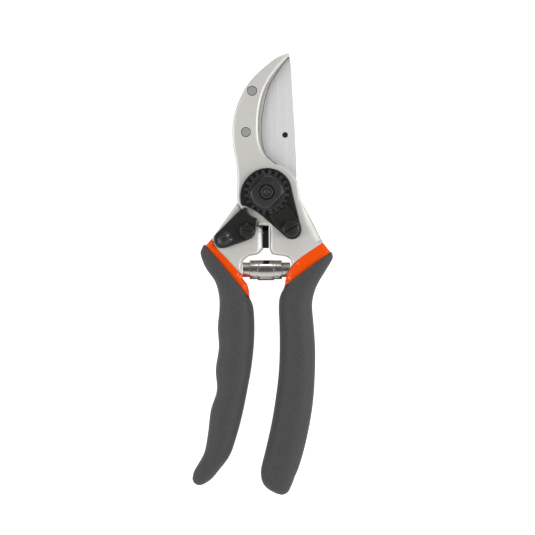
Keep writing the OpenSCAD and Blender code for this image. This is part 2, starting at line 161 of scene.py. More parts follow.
def nearest(points, loops):
    """Distance from each point to the outlines, and the place on them that is nearest"""
    a = np.concatenate(loops)
    ab = np.concatenate([np.roll(loop, -1, 0) for loop in loops]) - a
    long = np.maximum((ab ** 2).sum(1), 1e-12)
    distance, place = np.empty(len(points)), np.empty((len(points), 2))
    for first in range(0, len(points), 500):
        p = points[first:first + 500]
        t = np.clip(((p[:, None] - a) * ab).sum(2) / long, 0, 1)
        q = a + t[..., None] * ab
        d = np.linalg.norm(p[:, None] - q, axis=2)
        best = d.argmin(1)
        rows = np.arange(len(p))
        distance[first:first + 500], place[first:first + 500] = d[rows, best], q[rows, best]
    return distance, place

def row_beside(loop, loops, offset):
    """Points at an offset on the inner side of an outline, and which of them are neighbours"""
    before, after = loop - np.roll(loop, 1, 0), np.roll(loop, -1, 0) - loop
    unit = before / np.maximum(np.linalg.norm(before, axis=1), 1e-9)[:, None]
    unit += after / np.maximum(np.linalg.norm(after, axis=1), 1e-9)[:, None]
    length = np.maximum(np.linalg.norm(unit, axis=1), 0.8)
    normal = np.stack([-unit[:, 1], unit[:, 0]], 1) / length[:, None]
    row = loop + normal * (offset * 2 / length)[:, None]
    kept = nearest(row, loops)[0] >= offset * 0.97
    return row, kept

# %% [markdown]
# Forged arms, plates, blades and screws are all stacks of flat layers with rounded edges.
# One tool makes them: it lays all outlines in one flat triangle net, lifts every triangle to the
# front and the back of the layer it belongs to, and stands walls where the level changes.
# The rounding is a quarter of an ellipse that is wide as the edge is soft, so light rolls over it
# as it does over a tumbled forging. A Bevel modifier would need clean corners to do the same.

# %% Stacks of layers with rounded edges
ROWS = (0.07, 0.2, 0.42, 0.7, 1.0)  # shares of the rounding's width, closer where it is steep
made = {}

def shown(name, data):
    """A new object of the scene"""
    obj = bpy.data.objects.new(name, data)
    bpy.context.scene.collection.objects.link(obj)
    return obj

def layer(node, cut_at, back, front, wide=0.0, deep=0.0, deep_back=None, smooth=0, step=0.7):
    """One layer of a stack, from a CAD piece or from outlines. The rounding is deep at the front and
    deep_back at the back, both over a width. Each is a size or a function of the place (x, y)"""
    outlines = level_cut(node, cut_at) if isinstance(node, str) else node
    loops = [short_steps(loop, step, smooth) for loop in outlines]
    size = [value if callable(value) else (lambda x, y, v=value: np.full(len(x), float(v)))
            for value in (wide, deep, deep if deep_back is None else deep_back)]
    return {"loops": loops, "back": back, "front": front, "wide": size[0], "deep": size[1], "deep_back": size[2]}

def rounding(stack_layer, points, which):
    """How far the surface falls away near the layer's outline"""
    distance, place = nearest(points, stack_layer["loops"])
    wide = stack_layer["wide"](place[:, 0], place[:, 1])
    deep = stack_layer[which](place[:, 0], place[:, 1])
    inward = np.clip(1 - distance / np.maximum(wide, 1e-6), 0, 1)
    return deep * (1 - np.sqrt(np.maximum(1 - inward ** 2, 0)))

def stack(name, layers, creases=(), front_shape=None, back_shape=None, grid=0):
    """A closed mesh from flat layers. creases are extra lines that the surface bends at"""
    points, edges = [], []
    def line(row, kept=None, closed=True):
        first, count = len(points), len(row)
        points.extend(map(tuple, row))
        for i in range(count if closed else count - 1):
            j = (i + 1) % count
            if kept is None or (kept[i] and kept[j]):
                edges.append((first + i, first + j))
    lost = set()
    for one in layers:
        for loop in one["loops"]:
            line(loop)
            wide = one["wide"](loop[:, 0], loop[:, 1])
            if wide.max() > 0:
                for share in ROWS:
                    row, kept = row_beside(loop, one["loops"], wide * share)
                    first = len(points)
                    line(row, kept)
                    lost.update(first + i for i in np.flatnonzero(~kept))
    for crease in creases:
        line(np.array(crease), closed=False)
    if grid:
        low = np.min([loop.min(0) for one in layers for loop in one["loops"]], 0)
        high = np.max([loop.max(0) for one in layers for loop in one["loops"]], 0)
        xs, ys = np.meshgrid(np.arange(low[0], high[0], grid), np.arange(low[1], high[1], grid))
        net = np.stack([xs.ravel() + (ys.ravel() / grid % 2 // 1) * grid / 2, ys.ravel()], 1)
        clear = np.min([nearest(net, one["loops"])[0] for one in layers], 0) > grid * 0.6
        points.extend(map(tuple, net[clear]))
    order = [i for i in range(len(points)) if i not in lost]
    renumbered = {old: new for new, old in enumerate(order)}
    flat = geometry.delaunay_2d_cdt([Vector(points[i]) for i in order],
                                    [(renumbered[a], renumbered[b]) for a, b in edges], [], 0, 1e-4, False)
    plan = np.array([tuple(v) for v in flat[0]])
    triangles = np.array([face for face in flat[2] if len(face) == 3])
    a, b, c = (plan[triangles[:, k]] for k in range(3))
    area = (b[:, 0] - a[:, 0]) * (c[:, 1] - a[:, 1]) - (b[:, 1] - a[:, 1]) * (c[:, 0] - a[:, 0])
    triangles[area < 0] = triangles[area < 0][:, ::-1]
    centre = (a + b + c) / 3
    fronts, backs = (np.array([one[side] for one in layers]) for side in ("front", "back"))
    front_of, back_of = np.full(len(triangles), -1), np.full(len(triangles), -1)
    for n, one in enumerate(layers):
        here = inside(centre, one["loops"]) & (np.abs(area) > 1e-9)
        higher = here & ((front_of < 0) | (one["front"] > fronts[front_of]))
        lower = here & ((back_of < 0) | (one["back"] < backs[back_of]))
        front_of[higher], back_of[lower] = n, n
    heights = []
    for n, one in enumerate(layers):
        top = one["front"] - rounding(one, plan, "deep")
        under = one["back"] + rounding(one, plan, "deep_back")
        if front_shape is not None:
            top = top + front_shape(plan[:, 0], plan[:, 1], n)
        if back_shape is not None:
            under = under + back_shape(plan[:, 0], plan[:, 1], n)
        heights.append((np.maximum(top, under + 0.02), under))
    corners, faces, known = [], [], {}
    def corner(v, n, side):
        z = heights[n][side][v]
        key = (v, round(float(z), 4))
        if key not in known:
            known[key] = len(corners)
            corners.append((plan[v][0] * MM, plan[v][1] * MM, z * MM))
        return known[key]
    beside = {}
    for t, (i, j, k) in enumerate(triangles):
        if front_of[t] >= 0:
            for p, q in ((i, j), (j, k), (k, i)):
                beside[(p, q)] = t
    for t, tri in enumerate(triangles):
        if front_of[t] < 0:
            continue
        faces.append([corner(v, front_of[t], 0) for v in tri])
        faces.append([corner(v, back_of[t], 1) for v in tri[::-1]])
        for p, q in ((tri[0], tri[1]), (tri[1], tri[2]), (tri[2], tri[0])):
            other = beside.get((q, p))
            if other is None:
                wall = [corner(p, back_of[t], 1), corner(q, back_of[t], 1),
                        corner(q, front_of[t], 0), corner(p, front_of[t], 0)]
                faces.append(list(dict.fromkeys(wall)))
                continue
            for side, mine, its in ((0, front_of[t], front_of[other]), (1, back_of[t], back_of[other])):
                stands_out = fronts[mine] - fronts[its] if side == 0 else backs[its] - backs[mine]
                if stands_out > 1e-6:
                    low, high = (its, mine) if side == 0 else (mine, its)
                    wall = [corner(p, low, side), corner(q, low, side), corner(q, high, side), corner(p, high, side)]
                    wall = list(dict.fromkeys(wall))
                    if len(wall) > 2:
                        faces.append(wall)
    return plain_piece(name, corners, [f for f in faces if len(f) > 2])

def plain_piece(name, corners, faces):
    """A mesh object at the origin, linked to the scene"""
    mesh = bpy.data.meshes.new(name)
    mesh.from_pydata(corners, [], faces)
    mesh.validate()
    return shown(name, mesh)

def shade(obj, sharp=38):
    """Smooth shading with crisp edges, and flats that stay flat"""
    obj.data.polygons.foreach_set("use_smooth", [True] * len(obj.data.polygons))
    obj.data.set_sharp_from_angle(angle=math.radians(sharp))
    even = obj.modifiers.new("flats stay flat", "WEIGHTED_NORMAL")
    even.keep_sharp = True
    return obj

def finish_piece(obj, body, material, *nodes, slot=None, sharp=38):
    """Material, shading, and the CAD nodes that a piece stands for"""
    obj.data.materials.clear()
    obj.data.materials.append(material)
    shade(obj, sharp)
    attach(obj, body)
    if nodes:
        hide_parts(*nodes)
    made[obj.name] = len(obj.data.polygons)
    print(obj.name, "has", len(obj.data.polygons), "faces")
    return obj

def darken(obj, material, wanted):
    """Gives a second material, a painted shade, to the faces whose centre (x, y) in millimetres and steepness are
    wanted
    """
    obj.data.materials.append(material)
    for face in obj.data.polygons:
        if wanted(face.center.x / MM, face.center.y / MM, face.normal.z):
            face.material_index = 1

# %% [markdown]
# Materials are built from shader nodes. One function adds a node with its settings and links.
# A colour picked on a screen is sRGB, and the shader wants linear light, so one function turns a
# hex value into that. Patterns read Object coordinates, which are metres, so a grain of 0.4 mm is
# a noise scale of 1 / 0.0004. Most finishes share three moves: a pattern shifts the colour between
# two close shades, it shifts the roughness, and it raises a faint relief.

# %% Node, colour and finish helpers
def add(tree, kind, inputs=None, **settings):
    """Adds a node. An input's value is a number, a colour or another node's output"""
    node = tree.nodes.new(kind)
    for key, value in settings.items():
        setattr(node, key, value)
    for key, value in (inputs or {}).items():
        if isinstance(value, bpy.types.NodeSocket):
            tree.links.new(value, node.inputs[key])
        else:
            node.inputs[key].default_value = value
    return node

def colour(code):
    """Linear colour of an sRGB hex value"""
    parts = [int(code[i:i + 2], 16) / 255 for i in (1, 3, 5)]
    return (*[p / 12.92 if p <= 0.04045 else ((p + 0.055) / 1.055) ** 2.4 for p in parts], 1.0)

class Finish:
    """A material with its shader, and the moves that most finishes share"""
    def __init__(self, name, values):
        self.material = bpy.data.materials.new(name)
        self.material.use_nodes = True
        self.tree = self.material.node_tree
        self.tree.nodes.clear()
        self.shader = add(self.tree, "ShaderNodeBsdfPrincipled", values)
        add(self.tree, "ShaderNodeOutputMaterial", {"Surface": self.shader.outputs["BSDF"]})
        self.place = add(self.tree, "ShaderNodeTexCoord").outputs["Object"]

    def noise(self, size, detail, roughness=0.5):
        """A cloud pattern. size is its grain in millimetres: one number, or one for each axis"""
        where, scale = self.place, 1.0
        if isinstance(size, tuple):
            drawn = add(self.tree, "ShaderNodeMapping", {"Vector": where, "Scale": [1 / (s * MM) for s in size]})
            where = drawn.outputs["Vector"]
        else:
            scale = 1 / (size * MM)
        return add(self.tree, "ShaderNodeTexNoise", {
            "Vector": where, "Scale": scale, "Detail": detail, "Roughness": roughness}).outputs["Fac"]

    def stretch(self, pattern, low, high):
        """The part of a pattern between low and high, drawn out to run from 0 to 1"""
        return add(self.tree, "ShaderNodeMapRange", {
            "Value": pattern, "From Min": low, "From Max": high}).outputs["Result"]

    def tint(self, pattern, low, high):
        mix = add(self.tree, "ShaderNodeMix", {0: pattern, 6: colour(low), 7: colour(high)}, data_type="RGBA")
        self.tree.links.new(mix.outputs[2], self.shader.inputs["Base Color"])

    def roughen(self, pattern, low, high):
        soft = add(self.tree, "ShaderNodeMapRange", {"Value": pattern, "To Min": low, "To Max": high})
        self.tree.links.new(soft.outputs["Result"], self.shader.inputs["Roughness"])

    def emboss(self, pattern, strength, deep):
        """A relief that is deep in millimetres"""
        bump = add(self.tree, "ShaderNodeBump", {"Height": pattern, "Strength": strength, "Distance": deep * MM})
        self.tree.links.new(bump.outputs["Normal"], self.shader.inputs["Normal"])

# %% [markdown]
# The arms are forged aluminium, bead blasted and clear coated. Blasting leaves tiny dents that
# scatter the light, so the metal looks pale and satin. The dents are near 0.1 mm, too fine to
# show, so they are drawn at 0.45 mm. A slow cloud in the colour keeps large flats alive.

# %% Forged, blasted aluminium
finish = Finish("blasted forged aluminium", {"Metallic": 0.5, "Coat Weight": 0.2, "Coat Roughness": 0.3})
dents = finish.noise(0.45, 3)
finish.tint(finish.noise(18, 2), "#d6d5d0", "#dfded9")
finish.roughen(dents, 0.44, 0.56)
finish.emboss(dents, 0.35, 0.04)
forged_aluminium = finish.material

# %% [markdown]
# Both blades are hardened steel, surface ground lengthways. Grinding leaves long scratches about
# 0.2 mm apart, which catch the light in fine streaks. A noise squeezed across the blade and drawn
# out along it gives them, in the colour, the roughness and a faint bump. The counter blade is
# greyer. The narrow gaps beside it and round the rivets get a painted shade: a dark material that
# stands in for the shadow there.

# %% Ground steel, and the painted shade beside it
def ground(name, low, high):
    finish = Finish(name, {"Metallic": 0.4})
    scratch = finish.noise((0.22, 12, 0.8), 4)
    both = add(finish.tree, "ShaderNodeMath", {0: scratch, 1: finish.noise((3, 60, 6), 1)}, operation="ADD")
    streak = finish.stretch(both.outputs["Value"], 0.7, 1.3)
    finish.tint(streak, low, high)
    finish.roughen(streak, 0.5, 0.38)
    finish.emboss(scratch, 0.3, 0.02)
    return finish.material

ground_steel = ground("surface ground steel", "#e0e0e0", "#f4f4f4")
counter_steel = ground("ground steel of the counter blade", "#bab9b5", "#cdccc8")

# Painted shade: a dark material that stands in for the shadow in the narrow gaps
finish = Finish("painted shade in the gaps", {"Roughness": 0.6})
finish.tint(finish.noise(2, 3), "#2b2926", "#4a4742")
painted_gap_shade = finish.material

# %% [markdown]
# Rivets are soft steel, pressed flat and left bare, so they are greyer and duller than the blades.

# %% Rivet steel
finish = Finish("pressed rivet steel", {"Metallic": 0.4, "Roughness": 0.42})
grain = finish.noise(0.6, 3)
finish.tint(grain, "#9c9e99", "#b4b6b0")
finish.emboss(grain, 0.3, 0.03)
rivet_steel = finish.material

# %% [markdown]
# The locking plate, the toothed segment and both screws are blackened steel: a thin dark oxide
# film over ground or turned metal. The metal shines through the film, so it is partly metallic
# and takes a clear dark-grey gloss where it is smooth.

# %% Black oxide steel
finish = Finish("black oxide steel", {"Metallic": 0.6})
grain = finish.noise(0.5, 4)
finish.tint(finish.noise(5, 2), "#30302f", "#3c3c3a")
finish.roughen(grain, 0.24, 0.38)
finish.emboss(grain, 0.25, 0.04)
black_steel = finish.material

# %% [markdown]
# The nut and the bolt are phosphated steel, a crystalline grey-black skin, dull between its
# high spots. Crystals are a few hundredths of a millimetre and are drawn at 0.35 mm.

# %% Phosphated steel
finish = Finish("phosphated steel", {"Metallic": 0.7})
crystals = add(finish.tree, "ShaderNodeTexVoronoi", {"Vector": finish.place, "Scale": 1 / (0.35 * MM)})
patch = finish.noise(3, 3)
finish.tint(patch, "#3a3a3c", "#4e4e50")
finish.roughen(patch, 0.3, 0.48)
finish.emboss(crystals.outputs["Distance"], 0.2, 0.04)
phosphated_steel = finish.material

# %% [markdown]
# The washers under the bolt's head and the catch are turned steel, and the shear washer between the
# arms is bronze. Little of them shows, so a fine grain stands for the marks of turning.

# %% Turned steel and bronze
def turned_metal(name, low, high, roughness):
    finish = Finish(name, {"Metallic": 1.0, "Roughness": roughness})
    finish.tint(finish.noise(0.7, 3), low, high)
    return finish.material

turned_steel = turned_metal("turned steel", "#8d8e8e", "#b9baba", 0.3)
bronze = turned_metal("turned bronze", "#8a6a3a", "#b08a4c", 0.35)

# %% [markdown]
# The spring is wound from polished spring steel strip. It mirrors the room, so dark and light
# stripes run along each turn. Rolling leaves faint lines round the turns.

# %% Polished spring steel
finish = Finish("polished spring steel", {"Metallic": 1.0})
rolled = finish.noise((0.3, 6, 6), 3)
finish.tint(rolled, "#b9b5ae", "#d4d1cb")
finish.roughen(rolled, 0.12, 0.24)
spring_steel = finish.material

# %% [markdown]
# The collars between metal and grip are injection moulded ABS in orange, out of a polished mould.
# Such plastic has a clear mirror-like shine over a strong colour, and a very slight waviness where
# it shrank in the mould.

# %% Glossy orange ABS
finish = Finish("glossy orange ABS", {
    "Roughness": 0.2, "IOR": 1.53, "Specular IOR Level": 0.3, "Coat Weight": 0.3, "Coat Roughness": 0.06})
shrink = finish.noise(6, 1)
finish.tint(shrink, "#f04c00", "#f85400")
finish.emboss(shrink, 0.12, 0.4)
orange_plastic = finish.material

# %% [markdown]
# The grips are moulded thermoplastic rubber with a spark-eroded texture: a dense matt pattern of
# pits that stops the hand from slipping. Pits are about 0.2 mm and are drawn at 0.6 mm.

# %% Textured grip rubber
finish = Finish("textured grip rubber", {"Roughness": 0.62, "Specular IOR Level": 0.35, "Sheen Weight": 0.15})
pits = finish.noise(0.6, 4, 0.7)
finish.tint(finish.stretch(pits, 0.3, 0.7), "#38383a", "#4a4a4b")
finish.emboss(pits, 0.5, 0.1)
grip_rubber = finish.material

# %% [markdown]
# The stop between the arms is a plug of black EPDM rubber, and the catch is moulded in
# glass-filled nylon, which is black with a low satin shine and faint grey flow marks.

# %% Bumper rubber and catch nylon
finish = Finish("black EPDM rubber", {"Roughness": 0.65, "Specular IOR Level": 0.25})
grain = finish.noise(0.6, 3)
finish.tint(grain, "#060606", "#0e0e0e")
finish.emboss(grain, 0.4, 0.05)
bumper_rubber = finish.material

finish = Finish("glass filled nylon", {"Specular IOR Level": 0.7})
flow = finish.noise(3.5, 4)
finish.tint(flow, "#0c0c0b", "#171716")
finish.roughen(flow, 0.3, 0.4)
finish.emboss(finish.noise(0.5, 2), 0.25, 0.04)
catch_nylon = finish.material
print(len(bpy.data.materials), "materials")

# %% [markdown]
# The hook arm is one forging: the curved hook, the eye round the bolt, and the right shank that
# runs on as a tang inside its grip. Its outer edges are broad and soft, as a forging die leaves
# them, and the edges of the throat are tighter. The width of the rounding depends on the place.
# Painted shade darkens the steep faces round the rivets and at the heel, where the blade's root lies.

# %% The hook arm
RIVETS = ((-7.3, 50.6), (-10.4, 30.0))
RIVET_RADIUS = 2.2
HEEL = (3, 16)
# The tangs inside the grips: cut height, back, front, and width and depth of the rounding
TANG = (12.2, 6, 13.6, 0.6, 0.5)

def ramp(value, start, end):
    """0 before start, 1 after end, and a smooth rise between them"""
    t = np.clip((value - start) / (end - start), 0, 1)
    return t * t * (3 - 2 * t)

def from_rivet(x, y):
    """Distance from the nearest rivet's middle"""
    return np.min([np.hypot(x - rx, y - ry) for rx, ry in RIVETS], 0)

def at_rivet(x, y):
    """1 on the rims of the rivets' holes"""
    return (from_rivet(x, y) < RIVET_RADIUS + 0.4) * 1.0

def at_collar(x, y, a, b):
    """Near 1 on the straight line from a to b where metal meets its collar"""
    along_x, along_y = b[0] - a[0], b[1] - a[1]
    t = np.clip(((x - a[0]) * along_x + (y - a[1]) * along_y) / (along_x ** 2 + along_y ** 2), 0, 1)
    return 1 - ramp(np.hypot(x - a[0] - t * along_x, y - a[1] - t * along_y), 0.8, 1.6)

def hook_places(x, y):
    """How far a place belongs to the shank's outer edge, the heel and the window between the arms"""
    shank = ramp(-y, 4, 16) * ramp(x, 12, 16)
    heel = 1 - ramp(np.hypot(x - HEEL[0], y - HEEL[1]), 2.5, 4.5)
    window = ramp(-y, 16.5, 19) * ramp(-x, -13, -11)
    return shank, heel, window

def hook_wide(x, y):
    """1.4 mm on the hook, up to 4.6 mm outside the shank, tight at the heel and the rivets"""
    shank, heel, window = hook_places(x, y)
    return (1.4 + 3.2 * shank - 0.9 * heel + 0.2 * window) * (1 - 0.7 * at_rivet(x, y))

def hook_deep(x, y):
    """Steep round the window and at the heel, gentle elsewhere, and square at the collar"""
    shank, heel, window = hook_places(x, y)
    deep = 0.9 + 1.5 * shank + 1.4 * heel + 2.0 * window
    return deep * (1 - 0.3 * at_rivet(x, y)) * (1 - 0.9 * at_collar(x, y, (13.2, -36), (27.2, -25.6)))

def in_painted_shade(x, y, up):
    """Steep faces round the rivets and at the heel, which get the painted shade"""
    by_heel = math.hypot(x - HEEL[0], y - HEEL[1] - 0.3) < 3.4 and y > 14
    return 0 <= up < 0.93 and (from_rivet(x, y) < RIVET_RADIUS + 0.6 or by_heel)

hook_arm = stack("forged_hook_arm", [
    layer("hook_arm", 16, 14.9, HOOK_FRONT, hook_wide, hook_deep, 0.3),
    layer("hook_arm", 13.7, 12.5, HOOK_FRONT, hook_wide, hook_deep, 0.5),
    layer("hook_arm", 4.5, ARM_BACK, HOOK_FRONT, hook_wide, hook_deep, 1.0),
    layer("hook_arm", *TANG)])
finish_piece(hook_arm, "hook_side", forged_aluminium, "hook_arm", slot="forged_aluminium")
# Painted shade: the shadow in the gaps, laid on the steep faces as a dark material
darken(hook_arm, painted_gap_shade, in_painted_shade)

# %% [markdown]
# The blade arm is the other forging: a thin round eye behind the blade and the left shank.

# %% The blade arm
def blade_arm_places(x, y):
    """How far a place belongs to the shank's inner edge, its outer edge and the spring's window"""
    window = ramp(-y, 28, 31) * ramp(x, -13.5, -12)
    inner = ramp(-y, 17.5, 20) * ramp(x, -6, -3) * (1 - window)
    outer = ramp(-y, 4, 12) * ramp(-x, 13, 16)
    return inner, outer, window

def blade_arm_wide(x, y):
    inner, outer, window = blade_arm_places(x, y)
    return 1.2 + 2.1 * inner + 1.2 * outer + 0.4 * window

def blade_arm_deep(x, y):
    inner, outer, window = blade_arm_places(x, y)
    return (0.9 + 2.4 * inner + 2.0 * window) * (1 - 0.9 * at_collar(x, y, (-13, -40), (-26.6, -25)))

LAP = 8.4  # the front of the thin eye, where the blade lies on it
blade_arm = stack("forged_blade_arm", [
    layer("blade_arm", 15, ARM_BACK, levels("blade_arm")[1], blade_arm_wide, blade_arm_deep, 0.8),
    layer("blade_arm", 4.5, ARM_BACK, LAP, 1.0, 0.4, 0.8),
    layer("blade_arm", *TANG)])
finish_piece(blade_arm, "blade_side", forged_aluminium, "blade_arm", slot="forged_aluminium")

# %% [markdown]
# The counter blade is a steel insert that lies in the back of the hook, held by two rivets. Its
# edge falls off steeply, and a painted shade on that steep edge draws the thin dark line of shadow
# beside the blade.

# %% The counter blade
low, high = levels("counter_blade")
counter_blade = stack("ground_counter_blade", [
    layer("counter_blade", (low + high) / 2, low, high, 0.6, 1.3, 0.1)])
finish_piece(counter_blade, "hook_side", counter_steel, "counter_blade", slot="ground_steel")
# Painted shade on the steep edge, for the shadow in the gap beside the blade
darken(counter_blade, painted_gap_shade, lambda x, y, up: 0 <= up < 0.85)

# %% [markdown]
# The cutting blade is flat on the side that slides along the counter blade, and bevelled on the
# other side down to its edge. The bevel is a slope that depends only on the distance from the edge.
# A row of points where the slope starts keeps its border crisp.

# %% The cutting blade
BEVEL, EDGE_LEFT = 5.6, 0.25
low, high = levels("cutting_blade")
blade_outline = level_cut("cutting_blade", (low + high) / 2)
outer = short_steps(blade_outline[0], 0.6)
cutting_edge = outer[(outer[:, 0] < 11.5) & (outer[:, 1] > 14)]
cutting_edge = cutting_edge[np.argsort(cutting_edge[:, 1])]

def blade_back(x, y, n):
    """How much of the blade's thickness is ground away behind its edge"""
    gap = np.min(np.hypot(x[:, None] - cutting_edge[:, 0], y[:, None] - cutting_edge[:, 1]), 1)
    start = ramp(y, 13, 17)
    return (high - low - EDGE_LEFT) * np.clip(1 - gap / BEVEL, 0, 1) * start

bevel_lines = []
for share in (0.35, 0.7, 1.0):
    row, kept = row_beside(outer, [outer], np.full(len(outer), BEVEL * share))
    bevel_lines += [row[i:i + 2] for i in range(len(row) - 1)
                    if kept[i] and kept[i + 1] and row[i, 1] > 13 and outer[i, 0] < 11.5 and outer[i, 1] > 14]
cutting_blade = stack("ground_cutting_blade", [layer("cutting_blade", (low + high) / 2, low, high, 0.3, 0.15)],
                      creases=bevel_lines, back_shape=blade_back)
finish_piece(cutting_blade, "blade_side", ground_steel, "cutting_blade", slot="ground_steel", sharp=12)

# %% [markdown]
# The locking plate is stamped from sheet, so its front edges are a little rounded by the punch.
# The toothed segment on it is thicker and meshes with the nut.

# %% The locking plate and the toothed segment
low, high = levels("locking_plate")
locking_plate = stack("locking_plate_black", [
    layer("locking_plate", (low + high) / 2, low, high, 0.5, 0.35, 0.1, smooth=3, step=0.5)])
finish_piece(locking_plate, "hook_side", black_steel, "locking_plate", slot="black_steel")

low, high = levels("toothed_segment")
segment = stack("toothed_segment_black", [
    layer("toothed_segment", (low + high) / 2, low, high, 0.5, 0.5, 0.1, smooth=1, step=0.4)])
finish_piece(segment, "hook_side", black_steel, "toothed_segment", slot="black_steel")

# %% [markdown]
# The nut is a disc with twenty teeth and a raised centre with two flats for a spanner.
# Twenty equal teeth are a job for Geometry Nodes: one tooth is made once, put on the points of a
# circle and turned with it. Its sizes are inputs, so another nut needs no new drawing.

# %% Helpers for Geometry Nodes
def new_tree(name, inputs):
    """A node tree with named inputs, and the node that gives them"""
    tree = bpy.data.node_groups.new(name, "GeometryNodeTree")
    for label, kind in inputs.items():
        tree.interface.new_socket(name=label, in_out="INPUT", socket_type="NodeSocket" + kind)
    tree.interface.new_socket(name="Geometry", in_out="OUTPUT", socket_type="NodeSocketGeometry")
    return tree, add(tree, "NodeGroupInput").outputs

def end_tree(tree, geometry_socket, material_socket):
    """Every tree ends in real geometry with its material"""
    real = add(tree, "GeometryNodeRealizeInstances", {"Geometry": geometry_socket})
    painted = add(tree, "GeometryNodeSetMaterial", {"Geometry": real.outputs["Geometry"], "Material": material_socket})
    add(tree, "NodeGroupOutput", {"Geometry": painted.outputs["Geometry"]})

def plain_mesh(obj):
    """Turns what the modifiers make into a plain mesh and removes them"""
    ready = obj.evaluated_get(bpy.context.evaluated_depsgraph_get())
    mesh = bpy.data.meshes.new_from_object(ready)
    obj.modifiers.clear()
    obj.data = mesh
    return obj

def grow(name, tree, values):
    """Runs a tree with its inputs set and keeps the result"""
    obj = shown(name, bpy.data.meshes.new(name))
    nodes = obj.modifiers.new(tree.name, "NODES")
    nodes.node_group = tree
    for item in tree.interface.items_tree:
        if item.item_type == "SOCKET" and item.in_out == "INPUT":
            nodes[item.identifier] = values[item.name]
    return plain_mesh(obj)

def turn_outwards(obj, merge=False):
    """Turns the faces outwards, and merges doubles first where that is wanted"""
    bm = bmesh.new()
    bm.from_mesh(obj.data)
    if merge:
        bmesh.ops.remove_doubles(bm, verts=bm.verts, dist=1e-6)
    bmesh.ops.recalc_face_normals(bm, faces=bm.faces)
    bm.to_mesh(obj.data)
    bm.free()

def finish_edges(obj, width, segments):
    """Merges doubles, turns faces outwards and bevels the sharp edges"""
    turn_outwards(obj, merge=True)
    bevel = obj.modifiers.new("worn edge", "BEVEL")
    bevel.width, bevel.segments, bevel.limit_method = width * MM, segments, "ANGLE"
    bevel.angle_limit = math.radians(35)
    return plain_mesh(obj)

def join(name, *objects):
    """Several mesh objects as one"""
    bm = bmesh.new()
    for obj in objects:
        bm.from_mesh(obj.data)
    mesh = bpy.data.meshes.new(name)
    bm.to_mesh(mesh)
    bm.free()
    for obj in objects:
        bpy.data.objects.remove(obj)
    return shown(name, mesh)

# %% The tree that sets teeth round a disc
teeth_tree, given = new_tree("teeth round a disc", {
    "Count": "Int", "Root radius": "Float", "Tip radius": "Float", "Root width": "Float",
    "Tip width": "Float", "Height": "Float", "Bottom": "Float", "First angle": "Float", "Material": "Material"})
reach = add(teeth_tree, "ShaderNodeMath", {0: given["Tip radius"], 1: given["Root radius"]}, operation="SUBTRACT")
profile = add(teeth_tree, "GeometryNodeCurvePrimitiveQuadrilateral", {
    "Bottom Width": given["Root width"], "Top Width": given["Tip width"], "Height": reach.outputs[0],
    "Offset": 0.0}, mode="TRAPEZOID")
filled = add(teeth_tree, "GeometryNodeFillCurve", {"Curve": profile.outputs["Curve"]}, mode="NGONS")
up = add(teeth_tree, "ShaderNodeCombineXYZ", {"Z": given["Height"]})
solid = add(teeth_tree, "GeometryNodeExtrudeMesh", {
    "Mesh": filled.outputs["Mesh"], "Offset": up.outputs[0], "Offset Scale": 1.0, "Individual": False})
floor_face = add(teeth_tree, "GeometryNodeFlipFaces", {"Mesh": filled.outputs["Mesh"]})
tooth = add(teeth_tree, "GeometryNodeJoinGeometry")
teeth_tree.links.new(solid.outputs["Mesh"], tooth.inputs["Geometry"])
teeth_tree.links.new(floor_face.outputs["Mesh"], tooth.inputs["Geometry"])
half_reach = add(teeth_tree, "ShaderNodeMath", {0: reach.outputs[0], 1: 0.5}, operation="MULTIPLY")
middle = add(teeth_tree, "ShaderNodeMath", {0: given["Root radius"], 1: half_reach.outputs[0]}, operation="ADD")
out_of_disc = add(teeth_tree, "ShaderNodeCombineXYZ", {"X": middle.outputs[0], "Z": given["Bottom"]})
standing = add(teeth_tree, "GeometryNodeTransform", {
    "Geometry": tooth.outputs["Geometry"], "Translation": out_of_disc.outputs[0], "Rotation": (0, 0, -math.pi / 2)})
spots = add(teeth_tree, "GeometryNodeMeshLine", {"Count": given["Count"], "Offset": (0, 0, 0)})
index = add(teeth_tree, "GeometryNodeInputIndex")
share = add(teeth_tree, "ShaderNodeMath", {0: index.outputs[0], 1: given["Count"]}, operation="DIVIDE")
turn = add(teeth_tree, "ShaderNodeMath", {
    0: share.outputs[0], 1: math.tau, 2: given["First angle"]}, operation="MULTIPLY_ADD")
about = add(teeth_tree, "ShaderNodeCombineXYZ", {"Z": turn.outputs[0]})
ring = add(teeth_tree, "GeometryNodeInstanceOnPoints", {
    "Points": spots.outputs["Mesh"], "Instance": standing.outputs["Geometry"], "Rotation": about.outputs[0]})
end_tree(teeth_tree, ring.outputs["Instances"], given["Material"])

# %% The toothed nut
def circle(radius, count=72, centre=(0, 0)):
    """Points of a circle, anticlockwise"""
    turn = np.arange(count) * math.tau / count
    return np.stack([centre[0] + radius * np.cos(turn), centre[1] + radius * np.sin(turn)], 1)

def crease_rings(radii, count=72, centre=(0, 0)):
    """Closed circles that a surface bends at"""
    return [np.vstack([circle(r, count, centre), circle(r, count, centre)[:1]]) for r in radii]

low, high = levels("toothed_nut")
TOOTH_HEIGHT = 2.6
teeth = grow("teeth", teeth_tree, {
    "Count": 20, "Root radius": 8.6 * MM, "Tip radius": 11.1 * MM, "Root width": 1.75 * MM,
    "Tip width": 1.3 * MM, "Height": TOOTH_HEIGHT * MM, "Bottom": low * MM, "First angle": math.radians(10),
    "Material": phosphated_steel})
finish_edges(teeth, 0.3, 3)

def nut_top(x, y, n):
    """The raised centre is a very flat cone, dished round the bolt"""
    r = np.hypot(x, y)
    cone = -0.1 * np.clip(r - 5.0, 0, 5) - 0.06 * np.clip(r - 6.5, 0, 3) ** 2
    dish = -0.6 * (1 - ramp(r, 3.3, 3.9))
    return (cone + dish) if n == 1 else np.zeros(len(x))

